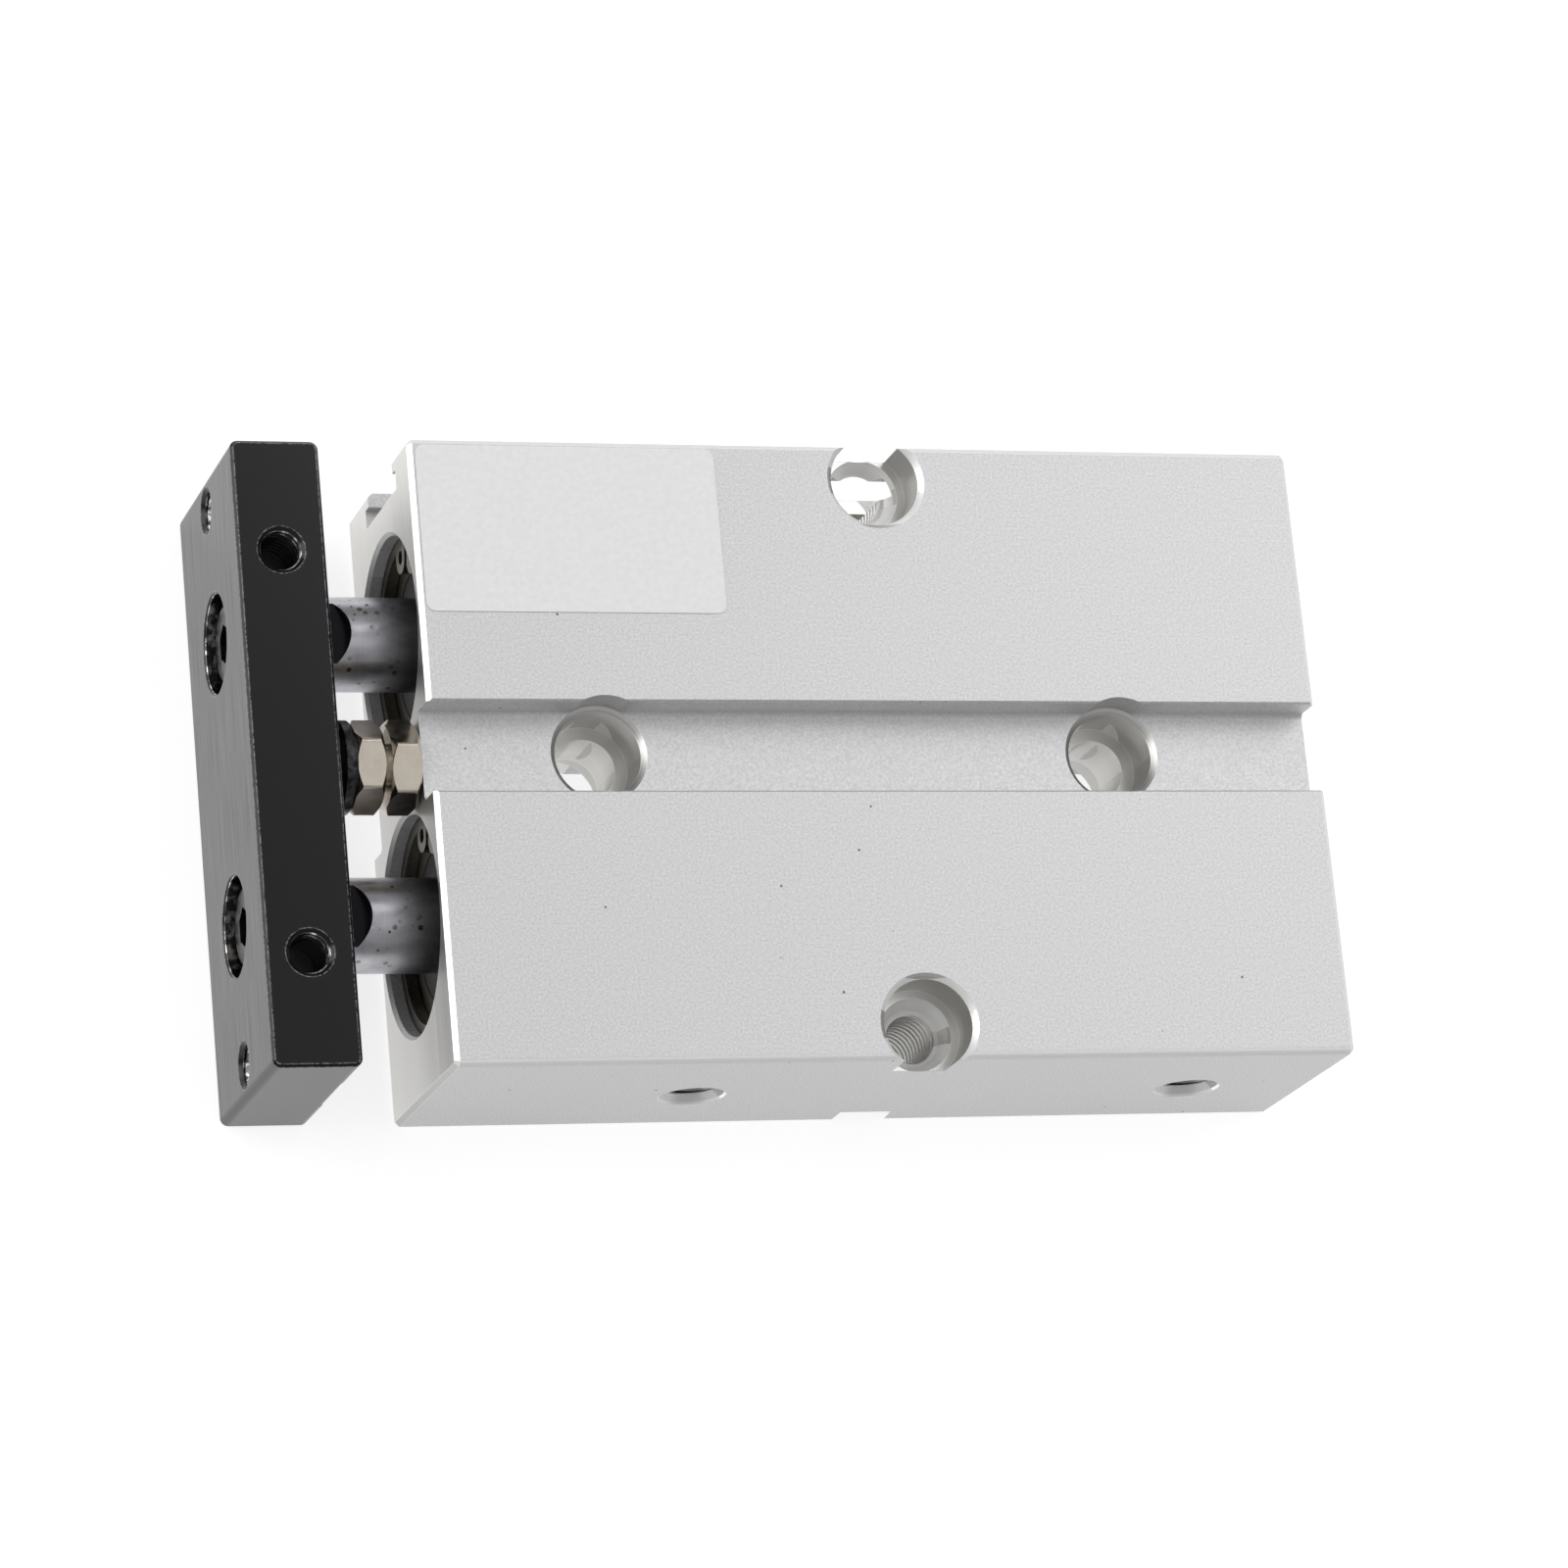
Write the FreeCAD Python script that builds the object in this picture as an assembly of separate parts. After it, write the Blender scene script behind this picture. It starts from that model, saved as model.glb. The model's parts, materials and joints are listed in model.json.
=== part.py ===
"""Guided pneumatic cylinder: two pistons side by side in one body, their rods joined by an end plate.

Shapes are drawn with the rod-side face of the body at x = 0, the middle of its thickness at z = 0 and
the rods along X, leaving the body towards -X.  save() moves every piece so that the origin lies on the
back face, midway between the two threaded side holes.  Sizes are in millimetres, rods drawn in.
"""
import FreeCAD
import Part
import math
import os

# Stroke and bores
STROKE = 30.0
BORE_DIAMETER = 16.0
BORE_PITCH = 24.5
SEAT_DIAMETER = 18.5
BORE_MOUTH_CHAMFER = 0.3

# Body section: a block with a groove on both faces and a T-slot for sensors on one side
BODY_WIDTH = 54.0
BODY_THICKNESS = 21.0
BODY_EDGE_ROUND = 0.6
BODY_END_CHAMFER = 0.4
GROOVE_WIDTH = 7.75
GROOVE_CENTRE_Y = 0.2
GROOVE_DEPTH = 3.1
GROOVE_CORNER_ROUND = 0.5
GROOVE_EDGE_BREAK = 0.15
SLOT_CENTRE_Z = 0.8
SLOT_MOUTH = 8.4
SLOT_UNDERCUT = 1.0
SLOT_LIP = 1.25
SLOT_DEPTH = 2.9

# Lengths along the bore, from the rod-side face to the rear face
FRONT_RECESS = 1.3
CLIP_GROOVE_WIDTH = 1.1
COVER_FLANGE_LENGTH = 7.0
COVER_NOSE_LENGTH = 10.0
STROKE_END_GAP = 0.2
FRONT_BUMPER_LENGTH = 2.4
PISTON_FRONT_LENGTH = 5.5
MAGNET_LENGTH = 2.5
PISTON_REAR_LENGTH = 6.0
PISTON_NUT_THICKNESS = 3.0
SPIGOT_OVERHANG = 0.2
REAR_BUMPER_PROUD = 0.5
REST_GAP = 0.8
REAR_COVER_LENGTH = 6.1
REAR_RECESS = 1.3

# Mounting holes and ports of the body
FRONT_CENTRE_HOLE_X = 15.3
REAR_CENTRE_HOLE_FROM_END = 18.0
CENTRE_HOLE_Y = 0.4
CENTRE_HOLE_DIAMETER = 5.3
CENTRE_COUNTERBORE_DIAMETER = 7.5
CENTRE_COUNTERBORE_DEPTH = 4.6
SIDE_HOLE_X = 41.0
SIDE_HOLE_PITCH = 47.8
SIDE_THREAD_MINOR = 4.2
SIDE_COUNTERBORE_DIAMETER = 7.8
SIDE_COUNTERBORE_LABEL_DEPTH = 4.0
SIDE_COUNTERBORE_BACK_DEPTH = 3.0
SIDE_COUNTERSINK_DIAMETER = 6.4
SIDE_COUNTERSINK_END_DIAMETER = 4.9
SIDE_COUNTERSINK_DEPTH = 1.3
SIDE_THREAD_CHAMFER = 0.35
COUNTERBORE_RIM_CHAMFER = 0.45
PORT_THREAD_MINOR = 4.2
PORT_CHAMFER = 0.8
PORT_Z = -1.0
FRONT_PORT_BEHIND_COVER = 4.0
REAR_PORT_BEFORE_COVER = 2.6
CROSS_PASSAGE_DIAMETER = 3.0

# Type label, a sticker on the face with the deeper side counterbores
LABEL_LENGTH = 26.0
LABEL_WIDTH = 14.6
LABEL_THICKNESS = 0.1
LABEL_MARGIN = 0.6
LABEL_CORNER_ROUND = 0.8

# Retaining rings
CLIP_GROOVE_DEPTH = 0.5
CLIP_THICKNESS = 1.0
CLIP_RING_WIDTH = 1.4
CLIP_LUG_RADIUS = 1.4
CLIP_LUG_CENTRE = 7.6
CLIP_LUG_ANGLE = 13.0
CLIP_PLIER_HOLE = 1.2
CLIP_GAP = 0.8
FRONT_CLIP_TURN = 18.0
REAR_CLIP_TURN = 90.0

# Rod covers with their seals and guide bushes
ROD_DIAMETER = 8.0
SEAL_POCKET_DIAMETER = 13.0
SEAL_POCKET_DEPTH = 4.0
SEAL_SHOULDER = 1.0
SEAL_LIP = 0.5
BUSH_WALL = 1.0
BUSH_LENGTH = 10.0
COVER_ORING_FROM_FLANGE = 2.6
ORING_GROOVE_WIDTH = 2.0
ORING_GROOVE_DEPTH = 1.25
COVER_CHAMFER = 0.4

# Pistons and what they carry
PISTON_DIAMETER = 15.6
PISTON_BOSS_DIAMETER = 11.0
PISTON_CHAMFER = 0.4
SPIGOT_DIAMETER = 6.0
PISTON_NUT_FLATS = 10.0
WEAR_RING_WIDTH = 3.0
WEAR_RING_WALL = 1.0
PISTON_SEAL_WIDTH = 3.0
PISTON_SEAL_WALL = 2.0
MAGNET_SET_BACK = 0.3
BUMPER_DIAMETER = 14.8
REAR_BUMPER_WALL = 1.4

# Piston rods
ROD_END_CHAMFER = 0.3
ROD_FLATS = 6.0
FLAT_CUTTER_DIAMETER = 7.0
FLAT_REACH = 3.26
ROD_THREAD_DEPTH = 11.0

# End plate with its holes
PLATE_GAP = 7.5
PLATE_THICKNESS = 7.5
PLATE_SET_BACK_Y = 0.25
PLATE_SET_BACK_Z = 0.5
PLATE_CORNER_ROUND = 0.7
PLATE_EDGE_CHAMFER = 0.25
PLATE_COUNTERBORE_DIAMETER = 8.4
PLATE_COUNTERBORE_DEPTH = 4.8
PLATE_COUNTERBORE_CHAMFER = 0.2
PLATE_SCREW_HOLE_DIAMETER = 4.5
PLATE_FACE_HOLE_PITCH = 48.0
PLATE_TOP_HOLE_PITCH = 34.4
PLATE_TOP_HOLE_DEPTH = 5.5
PLATE_THREAD_MINOR = 3.3
PLATE_THREAD_CHAMFER = 0.4
PLATE_SPOTFACE_DIAMETER = 9.6
PLATE_SPOTFACE_DEPTH = 0.45

# Screws that hold the plate to the rods
SCREW_DIAMETER = 4.0
SCREW_LENGTH = 12.0
SCREW_HEAD_DIAMETER = 7.0
SCREW_HEAD_HEIGHT = 4.0
SCREW_HEAD_ROUND = 0.4
SCREW_SOCKET_FLATS = 3.0
SCREW_SOCKET_DEPTH = 2.0

# Stop bolt between the rods, with its cup washer, lock nut and bumper
STOP_Z = 4.7
STOP_THREAD_DIAMETER = 4.0
STOP_THREAD_DEPTH = 5.5
STOP_ENGAGEMENT = 5.0
STOP_FLATS = 7.0
STOP_HEAD_HEIGHT = 2.5
STOP_HEAD_TURN = 17.4
STOP_NUT_HEIGHT = 2.4
STOP_NUT_TURN = 10.2
STOP_WASHER_DIAMETER = 7.9
STOP_WASHER_FOOT_DIAMETER = 6.4
STOP_WASHER_THICKNESS = 1.9
STOP_WASHER_RIM = 1.0
STOP_WASHER_CHAMFER = 0.3
STOP_BUMPER_DIAMETER = 4.6
STOP_BUMPER_DEPTH = 1.0
STOP_BUMPER_PROUD = 0.1
STOP_CONTACT_GAP = 0.05
HEX_CHAMFER_ANGLE = 40.0
HEX_EDGE_ROUND = 0.45

# Clearances, all per side
COVER_FIT = 0.05
NOSE_FIT = 0.05
CLIP_FIT = 0.05
BUSH_SEAT_FIT = 0.01
RUNNING_FIT = 0.04
SEAL_FIT = 0.04
ORING_FIT = 0.02
GROOVE_PLAY = 0.05
THREAD_FIT = 0.02
SHAFT_CLEARANCE = 0.15
OVERSHOOT = 1.0
FLAT_TOLERANCE = 0.001

BORE_RADIUS = BORE_DIAMETER / 2
SEAT_RADIUS = SEAT_DIAMETER / 2
CLIP_GROOVE_RADIUS = SEAT_RADIUS + CLIP_GROOVE_DEPTH
ROD_RADIUS = ROD_DIAMETER / 2
COVER_RADIUS = SEAT_RADIUS - COVER_FIT
NOSE_RADIUS = BORE_RADIUS - NOSE_FIT
PISTON_RADIUS = PISTON_DIAMETER / 2
SPIGOT_RADIUS = SPIGOT_DIAMETER / 2

COVER_X = FRONT_RECESS + CLIP_GROOVE_WIDTH
NOSE_X = COVER_X + COVER_FLANGE_LENGTH
NOSE_END_X = NOSE_X + COVER_NOSE_LENGTH
FRONT_BUMPER_X = NOSE_END_X + STROKE_END_GAP + STROKE
PISTON_X = FRONT_BUMPER_X + FRONT_BUMPER_LENGTH
MAGNET_X = PISTON_X + PISTON_FRONT_LENGTH
PISTON_REAR_X = MAGNET_X + MAGNET_LENGTH
PISTON_NUT_X = PISTON_REAR_X + PISTON_REAR_LENGTH
SPIGOT_END_X = PISTON_NUT_X + PISTON_NUT_THICKNESS + SPIGOT_OVERHANG
REAR_BUMPER_END_X = SPIGOT_END_X + REAR_BUMPER_PROUD
REAR_COVER_X = REAR_BUMPER_END_X + REST_GAP
REAR_CLIP_X = REAR_COVER_X + REAR_COVER_LENGTH
BODY_LENGTH = REAR_CLIP_X + CLIP_GROOVE_WIDTH + REAR_RECESS

HALF_WIDTH = BODY_WIDTH / 2
HALF_THICKNESS = BODY_THICKNESS / 2
GROOVE_FLOOR_Z = HALF_THICKNESS - GROOVE_DEPTH
FRONT_PORT_X = NOSE_END_X + FRONT_PORT_BEHIND_COVER
REAR_PORT_X = REAR_COVER_X - REAR_PORT_BEFORE_COVER
REAR_CENTRE_HOLE_X = BODY_LENGTH - REAR_CENTRE_HOLE_FROM_END
PLATE_BACK_X = -PLATE_GAP
PLATE_FACE_X = PLATE_BACK_X - PLATE_THICKNESS
SCREW_SEAT_X = PLATE_FACE_X + PLATE_COUNTERBORE_DEPTH
STOP_FACE_X = -STOP_CONTACT_GAP - STOP_BUMPER_PROUD
SIDES = (("slot_side", BORE_PITCH / 2), ("port_side", -BORE_PITCH / 2))


def block(x_span, y_span, z_span):
    """Box between two x, two y and two z values."""
    sizes = [span[1] - span[0] for span in (x_span, y_span, z_span)]
    return Part.makeBox(*sizes, FreeCAD.Vector(x_span[0], y_span[0], z_span[0]))


def turned(points, y=0.0, z=0.0):
    """Solid turned about the line along X through y and z, from its (x, radius) outline."""
    corners = [FreeCAD.Vector(x, y + radius, z) for x, radius in points]
    outline = Part.makePolygon(corners + corners[:1])
    return Part.Face(outline).revolve(FreeCAD.Vector(0, y, z), FreeCAD.Vector(1, 0, 0), 360)


def ring(x_span, inner, outer, y=0.0, z=0.0):
    """Plain ring or tube along X."""
    first, last = x_span
    return turned([(first, inner), (last, inner), (last, outer), (first, outer)], y, z)


def rod_along(axis, start, length, radius):
    """Cylinder that starts at a point and runs along an axis."""
    return Part.makeCylinder(radius, length, FreeCAD.Vector(*start), FreeCAD.Vector(*axis))


def cone_along(axis, start, depth, radius):
    """Cutter that breaks the edge of a hole: it narrows from radius + depth to radius."""
    return Part.makeCone(radius + depth, radius, depth, FreeCAD.Vector(*start), FreeCAD.Vector(*axis))


def o_ring(x, floor, wall, y):
    """O-ring squeezed flat between a groove floor and the wall round it, its section a hexagon."""
    middle = (wall + floor) / 2
    corner = ((wall - floor) / 2 - ORING_FIT) / math.cos(math.pi / 6)
    angles = [math.radians(60 * step) for step in range(6)]
    return turned([(x + corner * math.cos(a), middle + corner * math.sin(a)) for a in angles], y)


def hexagon(x_span, flats, turn, y=0.0, z=0.0):
    """Six-sided bar along X, with one side's normal turned from +Z towards -Y."""
    corner = flats / 2 / math.cos(math.pi / 6)
    angles = [math.radians(turn + 30 + 60 * step) for step in range(7)]
    corners = [FreeCAD.Vector(x_span[0], y - corner * math.sin(a), z + corner * math.cos(a)) for a in angles]
    face = Part.Face(Part.makePolygon(corners))
    return face.extrude(FreeCAD.Vector(x_span[1] - x_span[0], 0, 0))


def chamfered_hexagon(x_span, flats, turn, ends, y=0.0, z=0.0):
    """Hexagon with soft long edges, its corners turned off at the ends named: "first", "last"."""
    corner = flats / 2 / math.cos(math.pi / 6)
    drop = (corner - flats / 2) * math.tan(math.radians(HEX_CHAMFER_ANGLE))
    first, last = x_span
    start = [(first, flats / 2), (first + drop, corner)] if "first" in ends else [(first, corner)]
    finish = [(last - drop, corner), (last, flats / 2)] if "last" in ends else [(last, corner)]
    barrel = turned([(first, 0)] + start + finish + [(last, 0)], y, z)
    bar = hexagon(x_span, flats, turn, y, z)
    return bar.makeFillet(HEX_EDGE_ROUND, edges_along_x(bar)).common(barrel)


def edges_along_x(shape):
    """Straight edges parallel to X."""
    return [edge for edge in shape.Edges if edge.BoundBox.YLength + edge.BoundBox.ZLength < FLAT_TOLERANCE]


def edges_across_x(shape):
    """Edges that lie in a plane square to X."""
    return [edge for edge in shape.Edges if edge.BoundBox.XLength < FLAT_TOLERANCE]


def bore_cutter(y):
    """One bore with a stepped seat, a retaining ring groove and a chamfered mouth at both ends."""
    mouth = SEAT_RADIUS + BORE_MOUTH_CHAMFER
    rear_clip_end = REAR_CLIP_X + CLIP_GROOVE_WIDTH
    return turned([
        (-OVERSHOOT, 0), (-OVERSHOOT, mouth), (0, mouth), (BORE_MOUTH_CHAMFER, SEAT_RADIUS),
        (FRONT_RECESS, SEAT_RADIUS), (FRONT_RECESS, CLIP_GROOVE_RADIUS),
        (COVER_X, CLIP_GROOVE_RADIUS), (COVER_X, SEAT_RADIUS),
        (NOSE_X, SEAT_RADIUS), (NOSE_X, BORE_RADIUS),
        (REAR_COVER_X, BORE_RADIUS), (REAR_COVER_X, SEAT_RADIUS),
        (REAR_CLIP_X, SEAT_RADIUS), (REAR_CLIP_X, CLIP_GROOVE_RADIUS),
        (rear_clip_end, CLIP_GROOVE_RADIUS), (rear_clip_end, SEAT_RADIUS),
        (BODY_LENGTH - BORE_MOUTH_CHAMFER, SEAT_RADIUS), (BODY_LENGTH, mouth),
        (BODY_LENGTH + OVERSHOOT, mouth), (BODY_LENGTH + OVERSHOOT, 0)], y)


def groove_cutter(side):
    """Groove of one face (side 1 or -1): round corners at the floor, broken edges at the face."""
    half = GROOVE_WIDTH / 2
    wide = half + GROOVE_EDGE_BREAK
    edge_z = HALF_THICKNESS - GROOVE_EDGE_BREAK
    outside = HALF_THICKNESS + OVERSHOOT
    section = [(-half, GROOVE_FLOOR_Z), (half, GROOVE_FLOOR_Z), (half, edge_z), (wide, HALF_THICKNESS),
               (wide, outside), (-wide, outside), (-wide, HALF_THICKNESS), (-half, edge_z)]
    corners = [FreeCAD.Vector(-OVERSHOOT, GROOVE_CENTRE_Y + y, side * z) for y, z in section]
    outline = Part.Face(Part.makePolygon(corners + corners[:1]))
    cutter = outline.extrude(FreeCAD.Vector(BODY_LENGTH + 2 * OVERSHOOT, 0, 0))
    floor_edges = [edge for edge in edges_along_x(cutter)
                   if abs(side * edge.BoundBox.ZMin - GROOVE_FLOOR_Z) < FLAT_TOLERANCE]
    return cutter.makeFillet(GROOVE_CORNER_ROUND, floor_edges)


def slot_cutters():
    """T-slot for the sensors, from end to end."""
    x_span = (-OVERSHOOT, BODY_LENGTH + OVERSHOOT)
    half_mouth = SLOT_MOUTH / 2
    half_wide = half_mouth + SLOT_UNDERCUT
    floor_y = HALF_WIDTH - SLOT_DEPTH
    mouth = block(x_span, (floor_y, HALF_WIDTH + OVERSHOOT),
                  (SLOT_CENTRE_Z - half_mouth, SLOT_CENTRE_Z + half_mouth))
    undercut = block(x_span, (floor_y, HALF_WIDTH - SLOT_LIP),
                     (SLOT_CENTRE_Z - half_wide, SLOT_CENTRE_Z + half_wide))
    return [mouth, undercut]


def hole_through(x, y, diameter):
    """Hole through the body from face to face."""
    return rod_along((0, 0, 1), (x, y, -HALF_THICKNESS - OVERSHOOT), BODY_THICKNESS + 2 * OVERSHOOT,
                     diameter / 2)


def counterbore(x, y, side, floor, rim, diameter):
    """Cutters of a flat-bottomed hole with a chamfered rim, on the side of the middle given by 1 or -1."""
    radius = diameter / 2
    outward = (0, 0, side)
    inward = (0, 0, -side)
    at_rim = (x, y, side * rim)
    return [rod_along(outward, (x, y, side * floor), rim - floor, radius),
            cone_along(inward, at_rim, COUNTERBORE_RIM_CHAMFER, radius),
            rod_along(outward, at_rim, HALF_THICKNESS + OVERSHOOT - rim, radius + COUNTERBORE_RIM_CHAMFER)]


def centre_hole_cutters():
    """Holes in the web between the bores, counterbored from both grooves."""
    floor = GROOVE_FLOOR_Z - CENTRE_COUNTERBORE_DEPTH
    cutters = []
    for x in (FRONT_CENTRE_HOLE_X, REAR_CENTRE_HOLE_X):
        cutters.append(hole_through(x, CENTRE_HOLE_Y, CENTRE_HOLE_DIAMETER))
        for side in (1, -1):
            cutters += counterbore(x, CENTRE_HOLE_Y, side, floor, GROOVE_FLOOR_Z, CENTRE_COUNTERBORE_DIAMETER)
    return cutters


def side_hole_cutters():
    """Threaded holes by the sides, whose counterbores break out through the side faces."""
    label_floor = HALF_THICKNESS - SIDE_COUNTERBORE_LABEL_DEPTH
    back_floor = HALF_THICKNESS - SIDE_COUNTERBORE_BACK_DEPTH
    thread_z = label_floor - SIDE_COUNTERSINK_DEPTH
    down = FreeCAD.Vector(0, 0, -1)
    cutters = []
    for y in (SIDE_HOLE_PITCH / 2, -SIDE_HOLE_PITCH / 2):
        countersink_top = FreeCAD.Vector(SIDE_HOLE_X, y, label_floor)
        cutters.append(hole_through(SIDE_HOLE_X, y, SIDE_THREAD_MINOR))
        cutters += counterbore(SIDE_HOLE_X, y, 1, label_floor, HALF_THICKNESS, SIDE_COUNTERBORE_DIAMETER)
        cutters += counterbore(SIDE_HOLE_X, y, -1, back_floor, HALF_THICKNESS, SIDE_COUNTERBORE_DIAMETER)
        cutters.append(Part.makeCone(SIDE_COUNTERSINK_DIAMETER / 2, SIDE_COUNTERSINK_END_DIAMETER / 2,
                                     SIDE_COUNTERSINK_DEPTH, countersink_top, down))
        cutters.append(cone_along((0, 0, -1), (SIDE_HOLE_X, y, thread_z), SIDE_THREAD_CHAMFER,
                                  SIDE_THREAD_MINOR / 2))
    return cutters


def port_cutters():
    """Air ports on the plain side, each with a passage through the web to the far bore."""
    radius = PORT_THREAD_MINOR / 2
    depth = HALF_WIDTH - BORE_PITCH / 2
    cutters = []
    for x in (FRONT_PORT_X, REAR_PORT_X):
        mouth = (x, -HALF_WIDTH, PORT_Z)
        cutters.append(rod_along((0, 1, 0), mouth, depth, radius))
        cutters.append(cone_along((0, 1, 0), mouth, PORT_CHAMFER, radius))
        passage_start = (x, -BORE_PITCH / 2, PORT_Z)
        cutters.append(rod_along((0, 1, 0), passage_start, BORE_PITCH, CROSS_PASSAGE_DIAMETER / 2))
    return cutters


def housing():
    """Body of the cylinder."""
    body = block((0, BODY_LENGTH), (-HALF_WIDTH, HALF_WIDTH), (-HALF_THICKNESS, HALF_THICKNESS))
    body = body.makeFillet(BODY_EDGE_ROUND, edges_along_x(body))
    body = body.makeChamfer(BODY_END_CHAMFER, edges_across_x(body))
    bores = [bore_cutter(y) for _, y in SIDES]
    grooves = [groove_cutter(side) for side in (1, -1)]
    holes = centre_hole_cutters() + side_hole_cutters() + port_cutters()
    return body.cut(bores + grooves + slot_cutters() + holes)


def type_label():
    """Sticker in the corner by the rod-side end, on the side with the T-slot."""
    last_y = HALF_WIDTH - LABEL_MARGIN
    label = block((LABEL_MARGIN, LABEL_MARGIN + LABEL_LENGTH), (last_y - LABEL_WIDTH, last_y),
                  (HALF_THICKNESS, HALF_THICKNESS + LABEL_THICKNESS))
    upright = [edge for edge in label.Edges if edge.BoundBox.ZLength > LABEL_THICKNESS / 2]
    return label.makeFillet(LABEL_CORNER_ROUND, upright)


def rod_cover(y):
    """Gland with a flange on the seat, a nose in the bore, a seal pocket and a bush seat."""
    pocket = SEAL_POCKET_DIAMETER / 2
    pocket_end = COVER_X + SEAL_POCKET_DEPTH
    bush_x = pocket_end + SEAL_SHOULDER
    bush_radius = ROD_RADIUS + RUNNING_FIT + BUSH_WALL + BUSH_SEAT_FIT
    passage = ROD_RADIUS + SHAFT_CLEARANCE
    groove_x = NOSE_X + COVER_ORING_FROM_FLANGE
    groove_end = groove_x + ORING_GROOVE_WIDTH
    groove_floor = BORE_RADIUS - ORING_GROOVE_DEPTH
    return turned([
        (COVER_X, pocket), (pocket_end, pocket), (pocket_end, passage), (bush_x, passage),
        (bush_x, bush_radius), (NOSE_END_X, bush_radius),
        (NOSE_END_X, NOSE_RADIUS - COVER_CHAMFER), (NOSE_END_X - COVER_CHAMFER, NOSE_RADIUS),
        (groove_end, NOSE_RADIUS), (groove_end, groove_floor),
        (groove_x, groove_floor), (groove_x, NOSE_RADIUS),
        (NOSE_X, NOSE_RADIUS), (NOSE_X, COVER_RADIUS),
        (COVER_X + COVER_CHAMFER, COVER_RADIUS), (COVER_X, COVER_RADIUS - COVER_CHAMFER)], y)


def rod_seal(y):
    """Rod seal and wiper in one ring: a lip at both ends and a V between the rear lip and the heel."""
    first = COVER_X + GROOVE_PLAY
    last = COVER_X + SEAL_POCKET_DEPTH - GROOVE_PLAY
    outer = SEAL_POCKET_DIAMETER / 2 - GROOVE_PLAY
    lip = ROD_RADIUS + SEAL_FIT
    waist = lip + SEAL_LIP
    middle = (outer + waist) / 2
    return turned([
        (first, lip), (first + SEAL_LIP, lip), (first + 2 * SEAL_LIP, waist),
        (last - 2 * SEAL_LIP, waist), (last - SEAL_LIP, lip), (last, waist),
        (last - 2 * SEAL_LIP, middle), (last, outer), (first, outer)], y)


def guide_bush(y):
    """Plain bearing pressed into the rod cover."""
    bush_x = COVER_X + SEAL_POCKET_DEPTH + SEAL_SHOULDER
    inner = ROD_RADIUS + RUNNING_FIT
    return ring((bush_x, bush_x + BUSH_LENGTH), inner, inner + BUSH_WALL, y)


def cover_oring(y):
    """O-ring in the nose of the rod cover."""
    middle_x = NOSE_X + COVER_ORING_FROM_FLANGE + ORING_GROOVE_WIDTH / 2
    return o_ring(middle_x, BORE_RADIUS - ORING_GROOVE_DEPTH, BORE_RADIUS, y)


def circlip(x, y, turn):
    """Internal retaining ring, its gap turned from +Y towards +Z, a plier hole in both lugs."""
    first = x + (CLIP_GROOVE_WIDTH - CLIP_THICKNESS) / 2
    outer = CLIP_GROOVE_RADIUS - CLIP_FIT
    inner = outer - CLIP_RING_WIDTH
    clip = ring((first, first + CLIP_THICKNESS), inner, outer, y)
    holes = []
    for angle in (-CLIP_LUG_ANGLE, CLIP_LUG_ANGLE):
        lug = rod_along((1, 0, 0), (first, y + CLIP_LUG_CENTRE, 0), CLIP_THICKNESS, CLIP_LUG_RADIUS)
        neck = block((first, first + CLIP_THICKNESS), (y + CLIP_LUG_CENTRE, y + inner + CLIP_RING_WIDTH / 2),
                     (-CLIP_LUG_RADIUS, CLIP_LUG_RADIUS))
        hole = rod_along((1, 0, 0), (first, y + CLIP_LUG_CENTRE, 0), CLIP_THICKNESS, CLIP_PLIER_HOLE / 2)
        for shape in (lug, neck, hole):
            shape.rotate(FreeCAD.Vector(0, y, 0), FreeCAD.Vector(1, 0, 0), angle)
        clip = clip.fuse([lug, neck])
        holes.append(hole)
    gap = block((first, first + CLIP_THICKNESS), (y, y + outer + OVERSHOOT), (-CLIP_GAP / 2, CLIP_GAP / 2))
    clip = clip.cut(holes + [gap]).removeSplitter()
    clip.rotate(FreeCAD.Vector(0, y, 0), FreeCAD.Vector(1, 0, 0), turn)
    return clip


def front_circlip(y):
    """Ring that holds the rod cover."""
    return circlip(FRONT_RECESS, y, FRONT_CLIP_TURN)


def rear_circlip(y):
    """Ring that holds the rear cover."""
    return circlip(REAR_CLIP_X, y, REAR_CLIP_TURN)


def rear_cover(y):
    """Plug of the rear end, with an O-ring groove."""
    middle = (REAR_COVER_X + REAR_CLIP_X) / 2
    groove_x = middle - ORING_GROOVE_WIDTH / 2
    groove_end = middle + ORING_GROOVE_WIDTH / 2
    groove_floor = SEAT_RADIUS - ORING_GROOVE_DEPTH
    return turned([
        (REAR_COVER_X, 0), (REAR_CLIP_X, 0),
        (REAR_CLIP_X, COVER_RADIUS - COVER_CHAMFER), (REAR_CLIP_X - COVER_CHAMFER, COVER_RADIUS),
        (groove_end, COVER_RADIUS), (groove_end, groove_floor),
        (groove_x, groove_floor), (groove_x, COVER_RADIUS),
        (REAR_COVER_X + COVER_CHAMFER, COVER_RADIUS), (REAR_COVER_X, COVER_RADIUS - COVER_CHAMFER)], y)


def rear_oring(y):
    """O-ring in the rear cover."""
    middle_x = (REAR_COVER_X + REAR_CLIP_X) / 2
    return o_ring(middle_x, SEAT_RADIUS - ORING_GROOVE_DEPTH, SEAT_RADIUS, y)


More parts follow.
